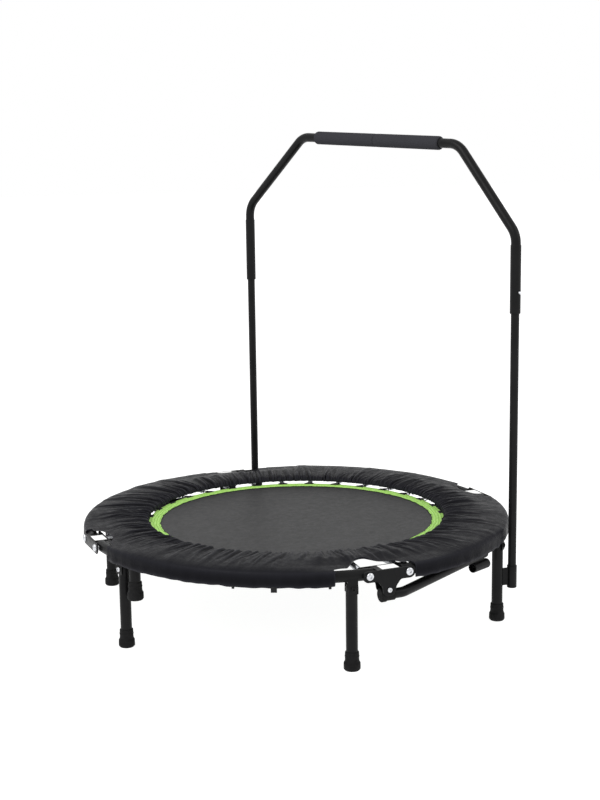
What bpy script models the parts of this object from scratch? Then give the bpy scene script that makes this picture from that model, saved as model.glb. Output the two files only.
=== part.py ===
"""Folding mini trampoline with a handle, in metres, standing on z = 0 with +Z up.

The ring is centred on the origin. The front hinge is at -Y, the right one at +X, the rear
one at +Y and the left one at -X. The frame folds in half about its front and rear hinges.
"""
import math

import bmesh
import bpy
from mathutils import Matrix, Vector

# Driving dimensions
GAP = 0.0003
RING_RADIUS = 0.493
RING_TUBE = 0.0127
RING_HEIGHT = 0.206
BOLT_OFFSET = 0.046
TUBE_END = 0.032
LEG_TUBE = 0.0127
LEG_PIVOT_HEIGHT = 0.180
LEG_ANGLES = {"front_left": 197, "front": 260.9, "right": 317.5, "rear_right": 17, "rear": 80, "rear_left": 140}
QUARTERS = {"rear_right": 0, "rear_left": 90, "front_left": 180, "front_right": 270}
HINGES = {"right": 0, "rear": 90, "left": 180, "front": 270}
PLATE = 0.003
PLATE_INNER = 0.0160
PLATE_CENTRE = RING_RADIUS - 0.0024
BRACKET_TOP = 0.0105
LEVER_DROP = 0.035
LEVER_TUBE = 0.011
LEVER_NEAR_HEIGHT = 0.156
LEVER_FAR_HEIGHT = 0.175
LEVER_REACH = 0.478
LEVER_ANGLE = 41
SOCKET_RADIUS = 0.523
SOCKET_ANGLES = {"rear": 80, "right": 320}
SOCKET_BOTTOM = 0.0747
SOCKET_LENGTH = 0.053
UPRIGHT_TUBE = 0.00955
UPRIGHT_TOP = 0.850
SLEEVE_BOTTOM = {"rear": 0.738, "right": 0.7135}
SLEEVE_TOP = {"rear": 0.899, "right": 0.868}
BUTTON_HEIGHT = 0.761
HANDLE_TUBE = 0.0111
SHOULDER_HEIGHT = {"rear": 0.9335, "right": 0.8905}
HANDLE_TOP = {"rear": 1.1128, "right": 1.0911}
HANDLE_TOP_REACH = {"rear": -0.2405, "right": 0.2815}
MAT_RADIUS = 0.3243
BORDER_RADIUS = 0.357
PAD_INNER = 0.355
PAD_OUTER = 0.5086
NOTCH_HALF_WIDTH = 0.070
NOTCH_DEPTH_RADIUS = 0.462
PAD_FOLD_CLEARANCE = 0.0066
PIN_HOLE = 0.0038
BOLT_HOLE = 0.0045
TUBE_SIDES = 14

STEEL = ((0.012, 0.012, 0.013), 0.42, 0.0)
RUBBER = ((0.010, 0.010, 0.010), 0.75, 0.0)
ZINC = ((0.78, 0.79, 0.80), 0.28, 1.0)
FOAM = ((0.045, 0.045, 0.050), 0.85, 0.0)
WOVEN = ((0.075, 0.075, 0.078), 0.80, 0.0)
GREEN = ((0.31, 0.58, 0.11), 0.70, 0.0)
NYLON = ((0.035, 0.035, 0.042), 0.55, 0.0)
SPRING_STEEL = ((0.55, 0.56, 0.58), 0.35, 1.0)


def clear_scene():
    for item in list(bpy.data.objects):
        bpy.data.objects.remove(item, do_unlink=True)


def finish_of(name, finish):
    colour, roughness, metallic = finish
    material = bpy.data.materials.new(name + "_finish")
    material.use_nodes = True
    shader = material.node_tree.nodes["Principled BSDF"]
    shader.inputs["Base Color"].default_value = (*colour, 1.0)
    shader.inputs["Roughness"].default_value = roughness
    shader.inputs["Metallic"].default_value = metallic
    return material


def piece(name, verts, faces, finish, origin=(0, 0, 0), parent=None):
    """One named solid. Its vertices are given in world places, its origin on its joint's axis."""
    mesh = bpy.data.meshes.new(name)
    shift = Vector(origin)
    mesh.from_pydata([Vector(v) - shift for v in verts], [], faces)
    build = bmesh.new()
    build.from_mesh(mesh)
    bmesh.ops.recalc_face_normals(build, faces=build.faces)
    build.to_mesh(mesh)
    build.free()
    mesh.shade_smooth()
    mesh.set_sharp_from_angle(angle=math.radians(40))
    thing = bpy.data.objects.new(name, mesh)
    bpy.context.scene.collection.objects.link(thing)
    thing.location = shift
    if finish:
        mesh.materials.append(finish_of(name, finish))
    if parent:
        thing.parent = parent
        thing.matrix_parent_inverse = Matrix.Translation(parent.location).inverted()
    return thing


def group(name, at=(0, 0, 0)):
    """An empty that carries a body's pieces, with its place on the body's joint."""
    empty = bpy.data.objects.new(name, None)
    bpy.context.scene.collection.objects.link(empty)
    empty.location = at
    return empty


def rings_to_solid(rings):
    """Verts and faces of a closed tube through equal rings, with a face at each end."""
    sides = len(rings[0])
    verts = [point for ring in rings for point in ring]
    faces = []
    for k in range(len(rings) - 1):
        for i in range(sides):
            j = (i + 1) % sides
            faces.append((k * sides + i, k * sides + j, (k + 1) * sides + j, (k + 1) * sides + i))
    last = (len(rings) - 1) * sides
    faces.append(tuple(range(sides))[::-1])
    faces.append(tuple(last + i for i in range(sides)))
    return verts, faces


def swept(points, radii, sides=TUBE_SIDES, up=(0, 0, 1)):
    """A round bar along points, with a radius at each of them."""
    points = [Vector(p) for p in points]
    if isinstance(radii, float):
        radii = [radii] * len(points)
    rings = []
    for k, point in enumerate(points):
        before = points[max(k - 1, 0)]
        after = points[min(k + 1, len(points) - 1)]
        along = (after - before).normalized()
        across = along.cross(Vector(up)).normalized()
        other = across.cross(along).normalized()
        ring = []
        for i in range(sides):
            turn = math.tau * i / sides
            ring.append(point + radii[k] * (math.cos(turn) * across + math.sin(turn) * other))
        rings.append(ring)
    return rings_to_solid(rings)


def turned(profile, base=(0, 0, 0), axis=(0, 0, 1), sides=TUBE_SIDES):
    """A solid turned about an axis through base. The profile runs (radius, distance along)."""
    turn_to = Vector((0, 0, 1)).rotation_difference(Vector(axis)).to_matrix().to_4x4()
    place = Matrix.Translation(Vector(base)) @ turn_to
    verts = []
    rings = []
    for radius, along in profile:
        if radius < 1e-9:
            rings.append([len(verts)])
            verts.append(place @ Vector((0, 0, along)))
            continue
        rings.append(list(range(len(verts), len(verts) + sides)))
        for i in range(sides):
            turn = math.tau * i / sides
            verts.append(place @ Vector((radius * math.cos(turn), radius * math.sin(turn), along)))
    faces = []
    for low, high in zip(rings, rings[1:]):
        for i in range(sides):
            j = (i + 1) % sides
            if len(low) == 1:
                faces.append((low[0], high[j], high[i]))
            elif len(high) == 1:
                faces.append((low[i], low[j], high[0]))
            else:
                faces.append((low[i], low[j], high[j], high[i]))
    return verts, faces


def prism(outline, place, thickness):
    """An outline in the plane of place's X and Y axes, made thick both ways along its Z axis."""
    rings = []
    for side in (-0.5, 0.5):
        rings.append([place @ Vector((x, y, side * thickness)) for x, y in outline])
    return rings_to_solid(rings)


def sector(outline, start, end, steps):
    """An outline of (radius, height) points carried round the ring from start to end degrees."""
    rings = []
    for k in range(steps + 1):
        turn = math.radians(start + (end - start) * k / steps)
        rings.append([Vector((r * math.cos(turn), r * math.sin(turn), z)) for r, z in outline])
    return rings_to_solid(rings)


def tool(name, solid, thing, operation):
    """A hidden solid that cuts or joins thing."""
    helper = piece(name, solid[0], solid[1], None)
    helper.hide_render = True
    helper.display_type = "WIRE"
    change = thing.modifiers.new(name, "BOOLEAN")
    change.operation = operation
    change.solver = "EXACT"
    change.object = helper
    return helper


def cut(thing, solid):
    tool("%s_cut_%d" % (thing.name, len(thing.modifiers)), solid, thing, "DIFFERENCE")


def join(thing, solid):
    tool("%s_join_%d" % (thing.name, len(thing.modifiers)), solid, thing, "UNION")


def radial(angle):
    return Vector((math.cos(math.radians(angle)), math.sin(math.radians(angle)), 0))


def tangent(angle):
    return radial(angle + 90)


def hinge_place(angle):
    """X along the ring, Y up, Z outward, with the origin on the tube's centre line at a hinge."""
    along, out = tangent(angle), radial(angle)
    centre = RING_RADIUS * out
    return Matrix(((along.x, 0, out.x, centre.x),
                   (along.y, 0, out.y, centre.y),
                   (0, 1, 0, RING_HEIGHT),
                   (0, 0, 0, 1)))


def pin_hole(angle, along, height, radius):
    """A round cutter across the ring tube at a hinge or a leg, pointing outward."""
    base = radial(angle) * (RING_RADIUS - 0.05) + tangent(angle) * along
    base.z = height
    return turned([(0, 0), (radius, 0), (radius, 0.1), (0, 0.1)], base, radial(angle), 12)


def bolt(name, angle, along, height, grip, shank, head, parent, centre=RING_RADIUS):
    """A pan-head bolt pointing inward through grip, with its nut on the inner side."""
    half = grip / 2 + GAP
    rim = head * 0.62
    profile = [(0, -half - rim), (head * 0.75, -half - rim), (head * 0.75, -half), (shank, -half),
               (shank, half), (head, half), (head, half + 0.3 * rim), (head * 0.8, half + 0.75 * rim),
               (head * 0.4, half + rim), (0, half + rim)]
    base = radial(angle) * centre + tangent(angle) * along
    base.z = height
    verts, faces = turned(profile, base, radial(angle), 10)
    return piece(name, verts, faces, ZINC, base, parent)


def leg_bracket(angle):
    """The inverted U welded under the tube that holds a leg's top, as a solid to join."""
    place = Matrix.Translation(RING_RADIUS * radial(angle))
    place = place @ Matrix.Rotation(math.radians(angle), 4, "Z") @ Matrix.Rotation(math.radians(90), 4, "X")
    outer, inner, narrow = 0.0143, LEG_TUBE + GAP, 0.0020
    low, bend, neck, web, top = 0.1690, 0.1840, 0.1885, 0.1933, 0.2030
    outline = [(-outer, low), (-inner, low), (-inner, bend), (narrow - inner, neck), (narrow - inner, web),
               (inner - narrow, web), (inner - narrow, neck), (inner, bend), (inner, low), (outer, low),
               (outer, bend), (outer - narrow, neck), (outer - narrow, top), (narrow - outer, top),
               (narrow - outer, neck), (-outer, bend)]
    return prism(outline, place, 0.026)


def make_quarter(name, start, legs, parent):
    end_angle = math.degrees(math.asin(TUBE_END / RING_RADIUS))
    steps = 20
    points = []
    for k in range(steps + 1):
        angle = start + end_angle + (90 - 2 * end_angle) * k / steps
        points.append(RING_RADIUS * radial(angle) + Vector((0, 0, RING_HEIGHT)))
    verts, faces = swept(points, RING_TUBE)
    tube = piece("frame_" + name, verts, faces, STEEL, parent=parent)
    for leg in legs:
        join(tube, leg_bracket(LEG_ANGLES[leg]))
        cut(tube, pin_hole(LEG_ANGLES[leg], 0, LEG_PIVOT_HEIGHT, PIN_HOLE))
    cut(tube, pin_hole(start, BOLT_OFFSET, RING_HEIGHT, BOLT_HOLE))
    cut(tube, pin_hole(start + 90, -BOLT_OFFSET, RING_HEIGHT, BOLT_HOLE))


def side_plate_outline(lug):
    end, low = 0.060, -0.0140
    outline = [(-end, 0.007), (-end, -0.008), (-end + 0.008, low)]
    if lug:
        drop = LEVER_DROP + 0.013
        outline += [(-0.027, low), (-0.016, -0.028), (-0.014, -drop + 0.006), (-0.008, -drop),
                    (0.008, -drop), (0.014, -drop + 0.006), (0.016, -0.028), (0.027, low)]
    outline += [(end - 0.008, low), (end, -0.008), (end, 0.007), (end - 0.004, BRACKET_TOP + 0.0003),
                (-end + 0.004, BRACKET_TOP + 0.0003)]
    return outline


def make_hinge_bracket(name, angle, lug, parent):
    """A channel closed on top, whose side plates hold the two tube ends."""
    middle = hinge_place(angle) @ Matrix.Translation((0, 0, PLATE_CENTRE - RING_RADIUS))
    spread = PLATE_INNER + PLATE / 2
    outline = side_plate_outline(lug)
    verts, faces = prism(outline, middle @ Matrix.Translation((0, 0, spread)), PLATE)
    bracket = piece("hinge_bracket_" + name, verts, faces, STEEL, parent.location, parent)
    join(bracket, prism(outline, middle @ Matrix.Translation((0, 0, -spread)), PLATE))
    low = BRACKET_TOP - 0.0024
    top = [(-0.028, low), (0.028, low), (0.028, BRACKET_TOP), (-0.028, BRACKET_TOP)]
    join(bracket, prism(top, middle, 2 * PLATE_INNER + PLATE))
    for side in (-1, 1):
        cut(bracket, pin_hole(angle, side * BOLT_OFFSET, RING_HEIGHT, BOLT_HOLE))
    if lug:
        cut(bracket, pin_hole(angle, 0, RING_HEIGHT - LEVER_DROP, PIN_HOLE))


def make_hinge_bolts(name, angle, parent):
    for side, word in ((-1, "first"), (1, "second")):
        bolt("hinge_bolt_%s_%s" % (name, word), angle, side * BOLT_OFFSET, RING_HEIGHT,
             2 * (PLATE_INNER + PLATE), 0.0042, 0.0085, parent, PLATE_CENTRE)


def leg_foot_profile():
    bore = LEG_TUBE + GAP
    return [(0, 0), (0.0155, 0), (0.0182, 0.0035), (0.0179, 0.0170), (0.0157, 0.0198), (0.0152, 0.0410),
            (bore, 0.0410), (bore, 0.0042), (0, 0.0042)]


def make_leg(name, angle, parent):
    base = RING_RADIUS * radial(angle)
    pivot = base + Vector((0, 0, LEG_PIVOT_HEIGHT))
    profile = [(0, 0.0045), (LEG_TUBE, 0.0045)]
    for k in range(5):
        rise = math.radians(90 * k / 5)
        profile.append((LEG_TUBE * math.cos(rise), LEG_PIVOT_HEIGHT + LEG_TUBE * math.sin(rise)))
    profile.append((0, LEG_PIVOT_HEIGHT + LEG_TUBE))
    verts, faces = turned(profile, base)
    leg = piece("leg_" + name, verts, faces, STEEL, pivot, parent)
    cut(leg, pin_hole(angle, 0, LEG_PIVOT_HEIGHT, PIN_HOLE))
    verts, faces = turned(leg_foot_profile(), base)
    piece("foot_" + name, verts, faces, RUBBER, pivot, parent)


def make_leg_bolt(name, angle, parent):
    bolt("leg_bolt_" + name, angle, 0, LEG_PIVOT_HEIGHT, 0.0288, 0.0034, 0.0055, parent)


def handle_frame():
    """Middle of the handle's foot line, its direction from rear to right, and half its width."""
    rear = SOCKET_RADIUS * radial(SOCKET_ANGLES["rear"])
    right = SOCKET_RADIUS * radial(SOCKET_ANGLES["right"])
    return (rear + right) / 2, (right - rear).normalized(), (right - rear).length / 2


def make_handle_socket(name, parent):
    """A cup beside a leg, on a short web, that an upright stands in."""
    leg = RING_RADIUS * radial(LEG_ANGLES[name])
    centre = SOCKET_RADIUS * radial(SOCKET_ANGLES[name])
    low, high = SOCKET_BOTTOM, SOCKET_BOTTOM + SOCKET_LENGTH
    outer, bore = 0.0114, UPRIGHT_TUBE + GAP
    profile = [(0, low), (0.0100, low), (outer, low + 0.0014), (outer, high), (bore, high),
               (bore, low + 0.003), (0, low + 0.003)]
    verts, faces = turned(profile, centre)
    socket = piece("handle_socket_" + name, verts, faces, STEEL, centre, parent)
    across = centre - leg
    place = Matrix.Translation(leg) @ Matrix.Rotation(math.atan2(across.y, across.x), 4, "Z")
    place = place @ Matrix.Rotation(math.radians(90), 4, "X")
    start, end = LEG_TUBE + GAP, across.length - outer + 0.0008
    web = [(start, low + 0.007), (end, low + 0.007), (end, low + 0.048), (start, low + 0.048)]
    join(socket, prism(web, place, 0.005))


def make_upright(name, parent):
    centre = SOCKET_RADIUS * radial(SOCKET_ANGLES[name])
    low = SOCKET_BOTTOM + 0.003 + GAP
    profile = [(0, low), (UPRIGHT_TUBE, low), (UPRIGHT_TUBE, UPRIGHT_TOP), (0.0082, UPRIGHT_TOP),
               (0.0082, BUTTON_HEIGHT - 0.02), (0, BUTTON_HEIGHT - 0.02)]
    verts, faces = turned(profile, centre)
    upright = piece("handle_upright_" + name, verts, faces, STEEL, centre, parent)
    outward = handle_frame()[1] * (-1 if name == "rear" else 1)
    level = centre + Vector((0, 0, BUTTON_HEIGHT))
    cut(upright, turned([(0, 0), (0.0040, 0), (0.0040, 0.02), (0, 0.02)], level, outward, 12))


def make_snap_button(name, parent):
    centre = SOCKET_RADIUS * radial(SOCKET_ANGLES[name])
    outward = handle_frame()[1] * (-1 if name == "rear" else 1)
    level = centre + Vector((0, 0, BUTTON_HEIGHT))
    profile = [(0, 0.0030), (0.0055, 0.0030), (0.0055, 0.0045), (0.0036, 0.0045), (0.0036, 0.0140),
               (0.0030, 0.0152), (0.0018, 0.0158), (0, 0.0160)]
    verts, faces = turned(profile, level, outward, 12)
    piece("snap_button_" + name, verts, faces, ZINC, level, parent)


def corner(before, at, after, radius, steps):
    """Points of a round bend at a corner of a straight-sided path."""
    back = (before - at).normalized()
    on = (after - at).normalized()
    half = back.angle(on) / 2
    reach = radius / math.tan(half)
    hub = at + (back + on).normalized() * radius / math.sin(half)
    start, end = at + back * reach - hub, at + on * reach - hub
    spin = start.rotation_difference(end)
    axis, angle = spin.to_axis_angle()
    return [hub + Matrix.Rotation(angle * k / steps, 3, axis) @ start for k in range(steps + 1)]


def top_corners():
    """The two corners of the bar's centre line, at the rear and at the right."""
    middle, along, half = handle_frame()
    return [middle + along * HANDLE_TOP_REACH[name] + Vector((0, 0, HANDLE_TOP[name])) for name in HANDLE_TOP]


def make_upper_handle(parent):
    middle, along, half = handle_frame()
    up = Vector((0, 0, 1))
    first, last = middle - along * half, middle + along * half
    rear, right = top_corners()
    corners = [first + up * SLEEVE_TOP["rear"], first + up * SHOULDER_HEIGHT["rear"], rear, right,
               last + up * SHOULDER_HEIGHT["right"], last + up * SLEEVE_TOP["right"]]
    path = [first + up * SLEEVE_BOTTOM["rear"], first + up * (SLEEVE_TOP["rear"] - 0.002)]
    radii = [0.0122, 0.0122]
    path.append(corners[0])
    for k in range(1, 5):
        path += corner(corners[k - 1], corners[k], corners[k + 1], 0.055, 6)
    path += [last + up * (SLEEVE_TOP["right"] - 0.002), last + up * SLEEVE_BOTTOM["right"]]
    radii += [HANDLE_TUBE] * (len(path) - 4) + [0.0122, 0.0122]
    verts, faces = swept(path, radii, up=along.cross(up))
    handle = piece("handle_upper", verts, faces, STEEL, middle + up * SLEEVE_BOTTOM["rear"], parent)
    for name, centre, side in (("rear", first, -1), ("right", last, 1)):
        low, high = SLEEVE_BOTTOM[name] - 0.01, SLEEVE_TOP[name] - 0.004
        bore = [(0, low), (UPRIGHT_TUBE + GAP, low), (UPRIGHT_TUBE + GAP, high), (0, high)]
        cut(handle, turned(bore, centre))
        hole = [(0, 0), (0.0041, 0), (0.0041, 0.02), (0, 0.02)]
        cut(handle, turned(hole, centre + up * BUTTON_HEIGHT, along * side, 12))


def make_grip(name, side, parent):
    rear, right = top_corners()
    base = (rear + right) / 2
    along = (right - rear).normalized()
    bore, outer, length = HANDLE_TUBE + GAP, 0.0160, 0.2065
    profile = [(bore, GAP), (outer - 0.0008, GAP), (outer, 0.0012), (outer, length - 0.003),
               (outer - 0.003, length), (bore, length)]
    verts, faces = turned(profile, base, along * side)
    last = len(profile) - 1
    for i in range(TUBE_SIDES):
        j = (i + 1) % TUBE_SIDES
        faces.append((last * TUBE_SIDES + i, last * TUBE_SIDES + j, j, i))
    piece("grip_" + name, verts, faces, FOAM, base, parent)


def lever_points(angle):
    """The lever's line under the ring, from its rubber end to its far end."""
    near = PLATE_CENTRE * radial(angle) + Vector((0, 0, LEVER_NEAR_HEIGHT))
    far = LEVER_REACH * radial(angle + LEVER_ANGLE) + Vector((0, 0, LEVER_FAR_HEIGHT))
    along = tangent(angle)
    start = near - along * 0.0105
    return [start, near + along * 0.020] + corner(start, near + along * 0.040, far, 0.04, 4) + [far]


def make_lever(name, angle, parent):
    points = lever_points(angle)
    pivot = PLATE_CENTRE * radial(angle) + Vector((0, 0, RING_HEIGHT - LEVER_DROP))
    along = tangent(angle)
    verts, faces = swept(points, LEVER_TUBE)
    lever = piece("fold_lever_" + name, verts, faces, STEEL, pivot, parent)
    middle = hinge_place(angle) @ Matrix.Translation((0, 0, PLATE_CENTRE - RING_RADIUS))
    foot = LEVER_NEAR_HEIGHT - RING_HEIGHT + 0.006
    ear = [(-0.0080, foot), (0.0080, foot), (0.0080, -LEVER_DROP), (0.0056, 0.0056 - LEVER_DROP),
           (0, 0.0080 - LEVER_DROP), (-0.0056, 0.0056 - LEVER_DROP), (-0.0080, -LEVER_DROP)]
    join(lever, prism(ear, middle, 0.006))
    cut(lever, pin_hole(angle, 0, pivot.z, PIN_HOLE))
    bore = LEVER_TUBE + GAP
    profile = [(0, -0.0145), (0.0135, -0.0145), (0.0155, -0.0125), (0.0155, -0.0030), (0.0136, -0.0010),
               (0.0136, 0.0185), (bore, 0.0185), (bore, -0.0108), (0, -0.0108)]
    axis_place = pivot - Vector((0, 0, pivot.z - LEVER_NEAR_HEIGHT))
    verts, faces = turned(profile, axis_place, along)
    end = piece("lever_end_" + name, verts, faces, RUBBER, pivot, parent)
    cut(end, pin_hole(angle, 0, pivot.z, PIN_HOLE))
    slot = [(-0.0084, foot - 0.002), (0.0084, foot - 0.002), (0.0084, -0.020), (-0.0084, -0.020)]
    cut(end, prism(slot, middle, 0.0066))
    direction = points[-1] - points[-2]
    direction.z = 0
    direction.normalize()
    centre = points[-1] - direction * 0.020 - Vector((0, 0, 0.026))
    radius, length, edge = 0.0111, 0.056, 0.0015
    profile = [(0, -length / 2), (radius - edge, -length / 2), (radius, edge - length / 2),
               (radius, length / 2 - edge), (radius - edge, length / 2), (0, length / 2)]
    join(lever, turned(profile, centre, direction))
    across = direction.cross(Vector((0, 0, 1)))
    place = Matrix((
        (direction.x, 0, across.x, centre.x), (direction.y, 0, across.y, centre.y),
        (0, 1, 0, centre.z), (0, 0, 0, 1)))
    web = [(-0.024, 0.0090), (0.016, 0.0090), (0.016, 0.0170), (-0.024, 0.0170)]
    join(lever, prism(web, place, 0.004))
    bolt("lever_bolt_" + name, angle, 0, pivot.z, 2 * (PLATE_INNER + PLATE), 0.0034, 0.0055, parent,
         PLATE_CENTRE)


def make_stand_stub(parent):
    """A short tube with a rubber foot beside the front-left leg."""
    base = RING_RADIUS * radial(LEG_ANGLES["front_left"] + 4.6)
    top = RING_HEIGHT - RING_TUBE - 2 * GAP
    verts, faces = turned([(0, 0.122), (LEG_TUBE, 0.122), (LEG_TUBE, top), (0, top)], base)
    piece("stand_stub", verts, faces, STEEL, base, parent)
    profile = [(r, z + 0.1175) for r, z in leg_foot_profile()]
    verts, faces = turned(profile, base)
    piece("stand_stub_foot", verts, faces, RUBBER, base, parent)


def half_outline_sector(outline, side, steps, clearance=GAP):
    """A half ring on the right (side 1) or the left (side -1), kept clear of the fold line."""
    clear = math.degrees(clearance / PAD_INNER)
    start = -90 if side > 0 else 90
    return sector(outline, start + clear, start + 180 - clear, steps)


def half_disc(radius, low, high, side, steps):
    rings = []
    for z in (low, high):
        ring = [Vector((side * GAP, -side * radius, z))]
        for k in range(1, steps):
            turn = math.radians(-90 + 180 * k / steps)
            ring.append(Vector((side * max(radius * math.cos(turn), GAP), side * radius * math.sin(turn), z)))
        ring.append(Vector((side * GAP, side * radius, z)))
        rings.append(ring)
    return rings_to_solid(rings)


def make_mat(name, side, parent):
    """Half of the woven mat, and half of the stitched border round it."""
    low, high = 0.2030, 0.2055
    verts, faces = half_disc(MAT_RADIUS, low, high, side, 30)
    piece("mat_" + name, verts, faces, WOVEN, parent=parent)
    inner = MAT_RADIUS + 0.002
    outline = [(inner, low - 0.001), (BORDER_RADIUS, low - 0.001), (BORDER_RADIUS, high + 0.001),
               (inner, high + 0.001)]
    verts, faces = half_outline_sector(outline, side, 30)
    piece("mat_border_" + name, verts, faces, GREEN, parent=parent)


def make_springs(name, side, parent):
    """The row of springs between the mat and the frame, as one flat half ring."""
    inner, outer, low, high = BORDER_RADIUS + 0.002, 0.4660, 0.2010, 0.2080
    verts, faces = half_outline_sector([(inner, low), (outer, low), (outer, high), (inner, high)], side, 24)
    piece("spring_row_" + name, verts, faces, SPRING_STEEL, parent=parent)


def make_pad(name, side, parent):
    """Half of the padded cover, with the skirt round the tube and a notch at each hinge."""
    outline = [(PAD_INNER, 0.2130), (0.4780, 0.2130), (0.4830, 0.2196), (0.4990, 0.2196), (0.5066, 0.2120),
               (0.5066, 0.1900), (PAD_OUTER, 0.1900), (PAD_OUTER, 0.2150), (0.5040, 0.2235),
               (0.4900, 0.2275), (0.4300, 0.2290), (0.3750, 0.2270), (PAD_INNER + 0.003, 0.2220)]
    verts, faces = half_outline_sector(outline, side, 36, PAD_FOLD_CLEARANCE)
    pad = piece("pad_" + name, verts, faces, NYLON, parent=parent)
    for angle in (HINGES["right"], HINGES["rear"], HINGES["left"], HINGES["front"]):
        if side * math.cos(math.radians(angle)) < -0.5:
            continue
        reach = [(-NOTCH_HALF_WIDTH, NOTCH_DEPTH_RADIUS), (NOTCH_HALF_WIDTH, NOTCH_DEPTH_RADIUS),
                 (NOTCH_HALF_WIDTH, 0.56), (-NOTCH_HALF_WIDTH, 0.56)]
        place = Matrix.Translation((0, 0, 0.21)) @ Matrix.Rotation(math.radians(angle - 90), 4, "Z")
        cut(pad, prism(reach, place, 0.08))


def build():
    clear_scene()
    right_half = group("right_half")
    left_half = group("left_half", (-BOLT_OFFSET, -PLATE_CENTRE, RING_HEIGHT))
    hinge_front = group("hinge_front", (BOLT_OFFSET, -PLATE_CENTRE, RING_HEIGHT))
    hinge_rear = group("hinge_rear", (BOLT_OFFSET, PLATE_CENTRE, RING_HEIGHT))
    handle = group("handle", handle_frame()[0])
    halves = {1: right_half, -1: left_half}
    make_quarter("front_right", 270, ["right"], right_half)
    make_quarter("rear_right", 0, ["rear_right", "rear"], right_half)
    make_quarter("rear_left", 90, ["rear_left"], left_half)
    make_quarter("front_left", 180, ["front_left", "front"], left_half)
    holders = {"right": right_half, "left": left_half, "front": hinge_front, "rear": hinge_rear}
    for name, angle in HINGES.items():
        make_hinge_bracket(name, angle, name in ("front", "rear"), holders[name])
        make_hinge_bolts(name, angle, holders[name])
    for name, angle in LEG_ANGLES.items():
        half = right_half if math.cos(math.radians(angle)) > 0 else left_half
        make_leg(name, angle, half)
        make_leg_bolt(name, angle, half)
    for name in ("right", "rear"):
        make_handle_socket(name, right_half)
        make_upright(name, handle)
        make_snap_button(name, handle)
    make_upper_handle(handle)
    make_grip("right", 1, handle)
    make_grip("rear", -1, handle)
    make_lever("front", HINGES["front"], hinge_front)
    make_lever("rear", HINGES["rear"], hinge_rear)
    make_stand_stub(left_half)
    for name, side in (("right", 1), ("left", -1)):
        make_mat(name, side, halves[side])
        make_springs(name, side, halves[side])
        make_pad(name, side, halves[side])


build()
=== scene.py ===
"""Looks of the folding mini trampoline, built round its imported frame. Metres, +Z up."""
import math

import bmesh
import bpy
import numpy as np
from mathutils import Matrix, Vector


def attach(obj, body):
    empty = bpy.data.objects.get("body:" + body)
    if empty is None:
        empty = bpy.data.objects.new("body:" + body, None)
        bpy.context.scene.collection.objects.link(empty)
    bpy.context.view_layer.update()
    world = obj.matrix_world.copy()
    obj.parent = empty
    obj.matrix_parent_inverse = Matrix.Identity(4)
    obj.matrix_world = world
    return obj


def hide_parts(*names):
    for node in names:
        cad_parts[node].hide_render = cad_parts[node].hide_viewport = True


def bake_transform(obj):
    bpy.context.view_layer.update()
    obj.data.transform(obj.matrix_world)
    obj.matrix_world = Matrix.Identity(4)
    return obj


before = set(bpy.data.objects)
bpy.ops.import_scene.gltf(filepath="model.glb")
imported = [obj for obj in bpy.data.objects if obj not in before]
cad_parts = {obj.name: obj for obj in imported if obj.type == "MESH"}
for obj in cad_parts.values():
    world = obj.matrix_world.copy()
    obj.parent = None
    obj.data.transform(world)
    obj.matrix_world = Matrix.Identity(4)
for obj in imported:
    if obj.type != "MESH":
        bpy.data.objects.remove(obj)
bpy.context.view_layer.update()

# Places and sizes of the frame, as in its CAD
RING_RADIUS, RING_TUBE, RING_HEIGHT, RING_WALL = 0.493, 0.0127, 0.206, 0.0015
TUBE_END, BOLT_OFFSET = 0.032, 0.046
PLATE, PLATE_INNER, PLATE_CENTRE = 0.003, 0.0160, 0.4906
LEG_TUBE, LEG_PIVOT = 0.0127, 0.180
LEG_ANGLES = {"front_left": 197, "front": 260.9, "right": 317.5,
              "rear_right": 17, "rear": 80, "rear_left": 140}
LEG_BODIES = {"right": "right_half", "rear": "right_half"}
BLACK_PINS = ("front", "right", "rear", "rear_left")
HINGES = {"right": 0, "rear": 90, "left": 180, "front": 270}
HINGE_BODIES = {"right": "right_half", "left": "left_half", "front": "hinge_front", "rear": "hinge_rear"}
QUARTERS = {"rear_right": 0, "rear_left": 90, "front_left": 180, "front_right": 270}
LEVERS = ("front", "rear")
LEVER_DROP, LEVER_TUBE, LEVER_REACH, LEVER_ANGLE = 0.035, 0.011, 0.478, 41
LEVER_NEAR_HEIGHT, LEVER_FAR_HEIGHT = 0.156, 0.175
SOCKET_ANGLES = {"rear": 80, "right": 320}
SOCKET_RADIUS, SOCKET_BOTTOM, SOCKET_LENGTH = 0.523, 0.0747, 0.053
UPRIGHT_TUBE, UPRIGHT_TOP, HANDLE_TUBE, SLEEVE, BUTTON_HEIGHT = 0.00955, 0.850, 0.0111, 0.0122, 0.761
SLEEVE_BOTTOM = {"rear": 0.738, "right": 0.7135}
SLEEVE_TOP = {"rear": 0.899, "right": 0.868}
SHOULDER = {"rear": 0.9335, "right": 0.8905}
HANDLE_TOP = {"rear": 1.1128, "right": 1.0911}
HANDLE_TOP_REACH = {"rear": -0.2405, "right": 0.2815}
BRACKET_TOP = 0.0105
MAT_EDGE, BORDER_INNER, BORDER_OUTER = 0.3300, 0.3263, 0.3570
SIDES = (("right", 1), ("left", -1))
UP = Vector((0, 0, 1))


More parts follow.
